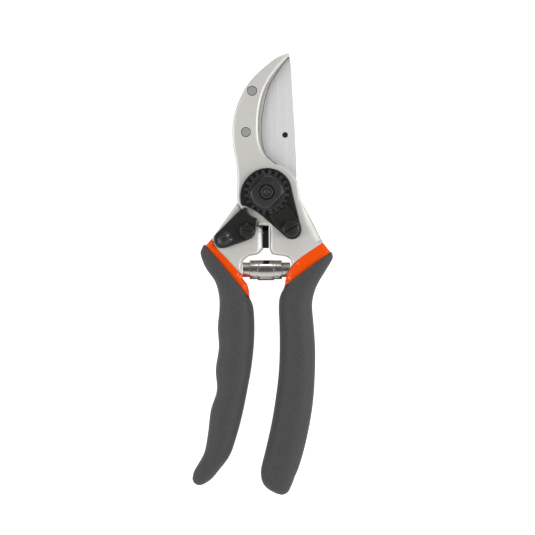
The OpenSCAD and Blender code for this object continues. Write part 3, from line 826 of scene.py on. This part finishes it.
boss = level_cut("toothed_nut", 22)
disc = stack("disc", [
    layer([circle(9.15), boss[1]], 0, low, low + TOOTH_HEIGHT, 0.3, 0.2, step=0.5),
    layer(boss, 0, low, high, 0.7, 0.55, 0.1, step=0.5)],
    creases=crease_rings((3.45, 3.6, 3.75, 3.9, 5.0, 6.5, 7.2)), front_shape=nut_top)
nut = join("toothed_nut_phosphated", disc, teeth)
finish_piece(nut, "hook_side", phosphated_steel, "toothed_nut", slot="nut_steel", sharp=32)

# %% [markdown]
# The bolt shows its turned end in the nut, with a round dimple in it, and its hexagonal head at
# the back. It is one stack: the head, the shank and the end, each over the other.

# %% The pivot bolt
low, high = levels("pivot_bolt")
def bolt_end(x, y, n):
    """The dimple: a flattened hollow of 1.9 mm radius in the uppermost layer"""
    hollow = -0.7 * np.sqrt(np.clip(1.9 ** 2 - x ** 2 - y ** 2, 0, None))
    return hollow if n == 2 else np.zeros(len(x))

bolt = stack("pivot_bolt_turned", [
    layer("pivot_bolt", 2, low, 3.0, 0.9, 0.1, 0.6, step=0.5),
    layer([circle(4.0)], 0, low, HOOK_FRONT),
    layer([circle(3.2)], 0, low, high, 0.45, 0.35, step=0.4)],
    creases=crease_rings((0.5, 1.0, 1.4, 1.7, 1.85, 1.95), 40), front_shape=bolt_end)
finish_piece(bolt, "hook_side", phosphated_steel, "pivot_bolt", slot="nut_steel", sharp=30)

# %% [markdown]
# The two screws have slotted hexagonal heads. A slot is a lower layer between two higher ones, and
# the corners of the hexagon are turned off in a chamfer.

# %% The slotted screws
def slotted_screw(name, node, body, centre, seat):
    """A slotted hexagonal head over a plain shank, from level cuts above and below the slot's floor"""
    low, high = levels(node)
    def chamfer(x, y, n):
        r = np.hypot(x - centre[0], y - centre[1])
        return (-0.45 * np.clip(r - widest * 0.8, 0, None) - 0.03 * r ** 2) * (n < 2)
    whole = level_cut(node, high - 1.3)
    widest = float(np.max(np.hypot(*(whole[0] - centre).T)))
    screw = stack(name, [
        layer(whole, 0, seat, high - 1.0, 0.0, 0.0, step=0.4),
        layer(node, high - 0.95, seat, high, 0.45, 0.32, step=0.4),
        layer(node, seat - 0.6, low, seat, 0, 0)],
        creases=crease_rings((widest * 0.8, widest * 0.87), 48, centre), front_shape=chamfer)
    return finish_piece(screw, body, black_steel, node, slot="black_steel", sharp=25)

slotted_screw("segment_screw_slotted", "segment_screw", "hook_side", (12.0, -18.2), levels("toothed_segment")[1])
slotted_screw("catch_screw_slotted", "catch_screw", "blade_side", (-9.9, -19.2), levels("thumb_catch")[0] + 2.7)

# %% [markdown]
# Rivets repeat as well, so a tree makes them: one cylinder on the points of a line between the two
# places. The press leaves each head with a rounded rim, which a bevel gives.

# %% The counter blade's rivets
rivet_tree, given = new_tree("rivets along a line", {
    "Count": "Int", "First": "Vector", "Step": "Vector", "Radius": "Float", "Length": "Float", "Material": "Material"})
rivet = add(rivet_tree, "GeometryNodeMeshCylinder", {
    "Vertices": 40, "Radius": given["Radius"], "Depth": given["Length"]}, fill_type="NGON")
spots = add(rivet_tree, "GeometryNodeMeshLine", {
    "Count": given["Count"], "Start Location": given["First"], "Offset": given["Step"]})
set_in = add(rivet_tree, "GeometryNodeInstanceOnPoints", {
    "Points": spots.outputs["Mesh"], "Instance": rivet.outputs["Mesh"]})
end_tree(rivet_tree, set_in.outputs["Instances"], given["Material"])

low, high = levels("counter_blade_rivets")
rivets = grow("counter_blade_rivets_pressed", rivet_tree, {
    "Count": 2, "First": Vector((*RIVETS[0], (low + high) / 2)) * MM,
    "Step": Vector((RIVETS[1][0] - RIVETS[0][0], RIVETS[1][1] - RIVETS[0][1], 0)) * MM,
    "Radius": RIVET_RADIUS * MM, "Length": (high - low) * MM, "Material": rivet_steel})
finish_edges(rivets, 0.3, 3)
finish_piece(rivets, "hook_side", rivet_steel, "counter_blade_rivets", slot="rivet_steel")

# %% [markdown]
# Pin, bush and washers are turned parts, mostly hidden. A stack with small rounding does for each.

# %% Pin, bush and washers
for name, node, body, material, slot in (
        ("blade_pin_black", "blade_pin", "blade_side", black_steel, "black_steel"),
        ("pivot_bush_turned", "pivot_bush", "blade_side", turned_steel, "bright_steel"),
        ("head_washer_turned", "head_washer", "hook_side", turned_steel, "bright_steel"),
        ("shear_washer_bronze", "shear_washer", "hook_side", bronze, "bronze"),
        ("catch_washer_turned", "catch_washer", "blade_side", turned_steel, "bright_steel")):
    low, high = levels(node)
    piece = stack(name, [layer(node, (low + high) / 2, low, high, 0.15, 0.1, step=0.5)])
    finish_piece(piece, body, material, node, slot=slot)

# %% [markdown]
# The thumb catch is a moulded lever. Its thumb tab stands up at the outer corner and has a valley
# across it for the thumb. Both are a height that depends on the place, so a net of points
# finer than the tab carries them. The tip is thinner at the back, as it passes over the plate.

# %% The thumb catch
low, high = levels("thumb_catch")
CATCH_TOP = low + 2.6
tab = level_cut("thumb_catch", high - 0.4)
tab_steps = [short_steps(loop, 0.5, 6) for loop in tab]

def catch_top(x, y, n):
    points = np.stack([x, y], 1)
    depth = np.where(inside(points, tab_steps), nearest(points, tab_steps)[0], 0)
    valley = np.clip(1 - np.abs((x + 23) * 0.447 - (y + 24) * 0.894) / 1.3, 0, 1)
    return 1.4 * ramp(depth, 0, 2.8) * (1 - 0.55 * ramp(valley, 0, 1))

catch_holes = level_cut("thumb_catch", CATCH_TOP - 0.3)
TIP_BACK = levels("locking_plate")[1] + 0.2
catch = stack("thumb_catch_nylon", [
    layer(catch_holes, 0, TIP_BACK, CATCH_TOP, 0.9, 0.65, smooth=4, step=0.5),
    layer("thumb_catch", low + 0.5, low, CATCH_TOP - 1, smooth=4, step=0.5)], grid=0.55, front_shape=catch_top)
finish_piece(catch, "catch", catch_nylon, "thumb_catch", slot="catch_plastic", sharp=50)

# %% [markdown]
# The rubber stop is a plug between the arms with soft edges.

# %% The bumper
low, high = levels("stop_bumper")
bumper = stack("stop_bumper_rubber", [
    layer("stop_bumper", high - 1, low, high, 0.7, 0.7, 0.3, step=0.5),
    layer("stop_bumper", low + 1, low, 9.0, 0.3, 0.3, step=0.5),
    layer("stop_bumper", 9.8, 7.8, 11.8, 0, 0, step=0.6)])
finish_piece(bumper, "blade_side", bumper_rubber, "stop_bumper", slot="bumper_rubber")

# %% [markdown]
# The orange collars are moulded round the necks of the arms. They stand a hair proud of the metal.
# Their two free sides are broad and round, and the lines where they meet the metal and the grip
# are nearly square.

# %% The collars
for name, node, body, metal_line, grip_line in (
        ("right_collar", "right_sleeve", "hook_side", ((15.6, -33.6), (27.2, -25.6)), ((9.6, -46.2), (31.2, -30.2))),
        ("left_collar", "left_sleeve", "blade_side", ((-14.4, -39.1), (-26.6, -25)), ((-9.1, -51.8), (-29.8, -27)))):
    low, high = levels(node)
    def collar_deep(x, y):
        return 1.7 - 1.45 * at_collar(x, y, *metal_line) - 1.5 * at_collar(x, y, *grip_line)
    collar = stack(name, [
        layer(node, 16, low, high, 4.0, collar_deep, step=0.6),
        layer(node, 5.5, 5, 14.6, 0, 0, step=0.8)])
    finish_piece(collar, body, orange_plastic, node, slot="orange_plastic")

# %% [markdown]
# The grips are rubber moulded over the tangs. A grip is a chain of rounded oblongs, each between an
# outer and an inner edge point, and a smooth curve leads from one to the next. The finger hollows
# come from the edge points alone. Few sections with a curve through them give a calmer surface
# than sculpting would. The CAD solid has the same sections, and one more at the right grip's end.

# %% Sections of the grips
# Each is [outer x, y, inner x, y, half depth, squareness]; squareness 2 is an ellipse, and where
# it is left out it is the usual one
USUAL_SQUARENESS = 2.4
left_sections = [
    [-31.1, -25.56, -8.7, -52.4, 8.9, 3.6], [-32.5, -27.9, -8.3, -53.2, 9.1, 3.3],
    [-33.1, -31, -7.9, -54, 9.3, 3.1], [-30.6, -37.6, -7.2, -55.5, 9.6, 2.8],
    [-26, -44.3, -6.7, -57.5, 9.8, 2.6], [-24, -51, -6.4, -60, 9.8, 2.5], [-23.7, -58, -6.2, -63.5, 9.8],
    [-24.5, -67.5, -6.1, -69, 9.8], [-24, -77.5, -6.5, -77.5, 9.7], [-25.5, -88.5, -7.7, -88, 9.6],
    [-25, -99, -9.4, -97.5, 9.3], [-28, -109, -12, -110.5, 8.9], [-29.5, -121, -14.9, -121.5, 8.5],
    [-31.4, -130.5, -18.4, -131.5, 8], [-36, -138.6, -23.8, -138.9, 7.4],
    [-36.95, -141.4, -26, -141.6, 6.9], [-37.2, -143.4, -28.1, -143.8, 6.2], [-36.5, -145.2, -30.6, -145.5, 5]]
right_sections = [
    [32.4, -29.43, 9, -46.6, 8.9, 3.6], [33, -30.9, 8.6, -47.6, 9.1, 3.3],
    [32.9, -33.3, 8.2, -48.6, 9.3, 3.1], [29.5, -39.2, 7.2, -50.5, 9.6, 2.8],
    [25.8, -45.3, 6.4, -53, 9.8, 2.6], [23.6, -51, 6.1, -56, 9.8, 2.5], [22.8, -57, 6.1, -60, 9.8],
    [23.6, -67, 6.4, -68, 9.8], [24.3, -78, 6.5, -78, 9.8], [24.2, -90, 6, -90, 9.7],
    [23.4, -103, 4.6, -102, 9.5], [21.7, -115, 2.5, -115, 9.2], [18.9, -128, -0.4, -128, 8.9],
    [16.1, -137.5, -2.8, -138, 8.5], [14.2, -142, -2.8, -142.4, 8],
    [13.2, -144.8, -2.2, -144.8, 7.5], [12.4, -146.7, -1, -146.8, 6.9], [11.6, -148.5, 0.8, -148.5, 6],
    [11, -149.6, 2.6, -149.6, 5.1]]

def curve_through(points, steps):
    """A smooth curve through points of any number of sizes"""
    points = np.array(points, float)
    result = []
    for i in range(len(points) - 1):
        a, b, c, d = points[max(i - 1, 0)], points[i], points[i + 1], points[min(i + 2, len(points) - 1)]
        for t in np.arange(steps) / steps:
            bend, twist = 2 * a - 5 * b + 4 * c - d, 3 * b - a - 3 * c + d
            result.append(0.5 * (2 * b + (c - a) * t + bend * t ** 2 + twist * t ** 3))
    return result + [points[-1]]

# %% The grips
GRIP_MIDDLE = sum(levels("right_grip")) / 2
SIDES = 64

def grip(name, sections, end, body, node):
    """A closed skin through the sections, with a soft lip at the collar and a round end"""
    rings = []
    def ring(middle, half_width, half_depth, power):
        turn = np.arange(SIDES) * math.tau / SIDES
        across, up = (np.sign(wave) * np.abs(wave) ** (2 / power) for wave in (np.cos(turn), np.sin(turn)))
        rings.append(np.column_stack([middle + np.outer(across, half_width), GRIP_MIDDLE + half_depth * up]))
    def middle_and_half(place):
        return (place[:2] + place[2:4]) / 2, (place[:2] - place[2:4]) / 2
    chain = curve_through([(section + [USUAL_SQUARENESS])[:6] for section in sections], 8)
    first, last = chain[0], chain[-1]
    middle, half = middle_and_half(first)
    for size in (0.5, 0.86):
        ring(middle, half * size, first[4] * size, first[5])
    for size, along in ((0.925, 0.0), (0.965, 0.5), (0.985, 1.2), (0.996, 2.2)):
        place = first + (chain[1] - first) * along
        middle, half = middle_and_half(place)
        ring(middle, half * size, place[4] * size, place[5])
    for section in chain[4:]:
        ring(*middle_and_half(section), section[4], section[5])
    middle, half = middle_and_half(last)
    for along in np.sin(np.linspace(0, math.pi / 2, 12))[1:-1]:
        size = (1 - along) ** 0.55
        ring(middle + (np.array(end) - middle) * along * 0.99, half * size, last[4] * math.sqrt(size), last[5])
    corners = np.vstack(rings)
    count = len(rings)
    faces = [list(range(SIDES))[::-1]]
    for r in range(count - 1):
        for k in range(SIDES):
            a, b = r * SIDES + k, r * SIDES + (k + 1) % SIDES
            faces.append([a, b, b + SIDES, a + SIDES])
    faces.append([(count - 1) * SIDES + k for k in range(SIDES)])
    obj = plain_piece(name, [tuple(c) for c in corners * MM], faces)
    turn_outwards(obj)
    return finish_piece(obj, body, grip_rubber, node, slot="grip_rubber", sharp=50)

grip("right_grip_rubber", right_sections, (7.6, -151.3), "hook_side", "right_grip")
grip("left_grip_rubber", left_sections, (-33.9, -146.5), "blade_side", "left_grip")

# %% [markdown]
# The spring is a double volute: flat strip rolled into a barrel whose turns slide into each
# other as the arms close. Each turn follows a rule, so a tree bends a flat grid into it: the angle,
# the radius and the place along the axis all come from where a point lies on the strip.
# A step from turn to turn is kept to the back. Solidify then gives the strip its thickness.

# %% The tree that rolls a strip
strip_tree, given = new_tree("rolled strip", {
    "Turns": "Float", "First radius": "Float", "Last radius": "Float", "Outer edge": "Float",
    "Inner edge": "Float", "Shift": "Float", "First angle": "Float", "Axis": "Vector", "Material": "Material"})
def math_node(kind, a, b=0.0, c=0.0):
    return add(strip_tree, "ShaderNodeMath", {0: a, 1: b, 2: c}, operation=kind).outputs[0]

def slide(share, start, end):
    """From start to end as share runs from 0 to 1"""
    return math_node("MULTIPLY_ADD", math_node("SUBTRACT", end, start), share, start)

flat = add(strip_tree, "GeometryNodeMeshGrid", {"Size X": 1.0, "Size Y": 1.0, "Vertices X": 160, "Vertices Y": 5})
where = add(strip_tree, "ShaderNodeSeparateXYZ", {0: add(strip_tree, "GeometryNodeInputPosition").outputs[0]})
along = math_node("ADD", where.outputs["X"], 0.5)
across = math_node("ADD", where.outputs["Y"], 0.5)
turned = math_node("MULTIPLY", along, given["Turns"])
step_part = add(strip_tree, "ShaderNodeMapRange", {
    "Value": math_node("FRACT", turned), "From Min": 0.55, "From Max": 0.98}, interpolation_type="SMOOTHSTEP")
stepped = math_node("ADD", math_node("FLOOR", turned), step_part.outputs["Result"])
edge = slide(across, given["Outer edge"], given["Inner edge"])
axial = math_node("MULTIPLY_ADD", stepped, given["Shift"], edge)
angle = math_node("MULTIPLY_ADD", turned, math.tau, given["First angle"])
radius = slide(along, given["First radius"], given["Last radius"])
bent = add(strip_tree, "ShaderNodeCombineXYZ", {
    "X": axial, "Y": math_node("MULTIPLY", radius, math_node("COSINE", angle)),
    "Z": math_node("MULTIPLY", radius, math_node("SINE", angle))})
placed = add(strip_tree, "ShaderNodeVectorMath", {0: bent.outputs[0], 1: given["Axis"]}, operation="ADD")
rolled = add(strip_tree, "GeometryNodeSetPosition", {"Geometry": flat.outputs["Mesh"], "Position": placed.outputs[0]})
end_tree(strip_tree, rolled.outputs["Geometry"], given["Material"])

# %% The volute spring
low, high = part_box("volute_spring")
axis = Vector((0, (low.y + high.y) / 2, (low.z + high.z) / 2))
strips = []
for turns, first_radius, last_radius, outer_edge, inner_edge, shift, first_angle in (
        (1.04, 5.05, 5.0, -4.5, 3.7, 0.0, math.radians(-100)),
        (2.0, 4.98, 2.9, -8.5, -4.3, -3.65, 0.0),
        (2.0, 4.98, 2.9, 7.6, 3.5, 4.2, 0.0)):
    strip = grow("strip", strip_tree, {
        "Turns": turns, "First radius": first_radius * MM, "Last radius": last_radius * MM,
        "Outer edge": outer_edge * MM, "Inner edge": inner_edge * MM, "Shift": shift * MM,
        "First angle": first_angle, "Axis": axis, "Material": spring_steel})
    for v in strip.data.vertices:
        v.co.x = min(max(v.co.x, low.x), high.x)
    turn_outwards(strip)
    early_face = strip.data.polygons[len(strip.data.polygons) // 8]
    outward = early_face.center - axis
    outward.x = 0
    if early_face.normal.dot(outward) < 0:
        strip.data.flip_normals()
    thick = strip.modifiers.new("strip thickness", "SOLIDIFY")
    thick.thickness, thick.offset = 0.55 * MM, -1
    soft_edge = strip.modifiers.new("rolled edge", "BEVEL")
    soft_edge.width, soft_edge.segments, soft_edge.limit_method = 0.1 * MM, 2, "ANGLE"
    strips.append(plain_mesh(strip))
spring = join("volute_spring_strip", *strips)
spring.data.materials.append(spring_steel)
shade(spring)
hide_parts("volute_spring")
spring.modifiers.clear()
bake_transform(spring)
made[spring.name] = len(spring.data.polygons)
print("spring:", made[spring.name], "faces over", round((high.x - low.x) / MM, 1), "mm")

# %% [markdown]
# The shears lie on a plain white light table in a studio. The walls are bright above the table, and
# the room is dim right overhead, where the camera hangs, and low down. So black parts that face the
# camera stay black, rounded edges get a pale line, and their outermost rims go dark. The wall
# nearest to the handles' ends is bright lower down too, and lights the spring's underside.
# Two long soft boxes stand left and right, and a weak one beyond the blade's tip.
# The table glows as white as paper in full light, so it stays white and the shadows wash out.
# Its mirror image would hide the dark rims, so glossy rays pass it by.

# %% Table and light
table_mesh = bpy.data.meshes.new("white_table")
table_mesh.from_pydata([(-6, -6, 0), (6, -6, 0), (6, 6, 0), (-6, 6, 0)], [], [(0, 1, 2, 3)])
table = shown("white_table", table_mesh)
paper = Finish("white table paper", {
    "Base Color": (0.5, 0.5, 0.5, 1), "Roughness": 0.9, "Specular IOR Level": 0.1,
    "Emission Color": (1, 1, 1, 1), "Emission Strength": 1.0})
table.data.materials.append(paper.material)
table.visible_glossy = False

def soft_box(name, place, size, power):
    """A rectangular light that faces the shears"""
    light = bpy.data.lights.new(name, "AREA")
    light.shape, light.size, light.size_y, light.energy = "RECTANGLE", size[0], size[1], power
    obj = shown(name, light)
    obj.location = place
    obj.rotation_euler = (Vector((0, -0.04, 0)) - Vector(place)).to_track_quat("-Z", "Y").to_euler()

soft_box("left soft box", (-1.15, 0.0, 0.9), (0.6, 1.2), 8)
soft_box("right soft box", (1.15, 0.0, 0.85), (0.6, 1.2), 10.5)
soft_box("far soft box", (0, 1.2, 0.6), (1.0, 0.3), 3.9)

world = bpy.data.worlds.new("studio room")
bpy.context.scene.world = world
world.use_nodes = True
tree = world.node_tree
tree.nodes.clear()
ray = add(tree, "ShaderNodeTexCoord").outputs["Generated"]
way = add(tree, "ShaderNodeSeparateXYZ", {0: ray}).outputs
def rise(value, start, end, low, high):
    """A smooth change from low to high while a direction's part runs from start to end"""
    return add(tree, "ShaderNodeMapRange", {
        "Value": value, "From Min": start, "From Max": end, "To Min": low, "To Max": high},
        interpolation_type="SMOOTHSTEP").outputs["Result"]

def combine(kind, a, b):
    return add(tree, "ShaderNodeMath", {0: a, 1: b}, operation=kind).outputs[0]

walls = combine("MULTIPLY", rise(way["Z"], 0.05, 0.5, 0.08, 0.42), rise(way["Z"], 0.72, 0.88, 1.0, 0.3))
near_wall = combine("MULTIPLY", rise(way["Y"], -0.42, -0.25, 0.6, 0.0), rise(way["Z"], -0.6, -0.4, 0.0, 1.0))
room = add(tree, "ShaderNodeBackground", {"Color": (1, 1, 1, 1), "Strength": combine("ADD", walls, near_wall)})
add(tree, "ShaderNodeOutputWorld", {"Surface": room.outputs["Background"]})
bpy.context.scene.view_settings.view_transform = "Standard"

# %% [markdown]
# The camera looks straight down from 1.6 m through a long lens, as for a catalogue, so that
# nothing leans. The frame is 267.5 mm wide at the shears.

# %% Camera
WIDTH, FAR, PART_LEVEL, SENSOR = 0.2675, 1.6, 0.012, 36
camera = shown("camera", bpy.data.cameras.new("camera"))
camera.location = (0.0004, -0.0375, FAR)
camera.data.sensor_width = SENSOR
camera.data.lens = SENSOR * (FAR - PART_LEVEL) / WIDTH
camera.data.clip_start, camera.data.clip_end = 0.05, 20
bpy.context.scene.camera = camera

# %% Sizes, and the end of the script
print(len(made), "finished pieces,", sum(made.values()), "faces")
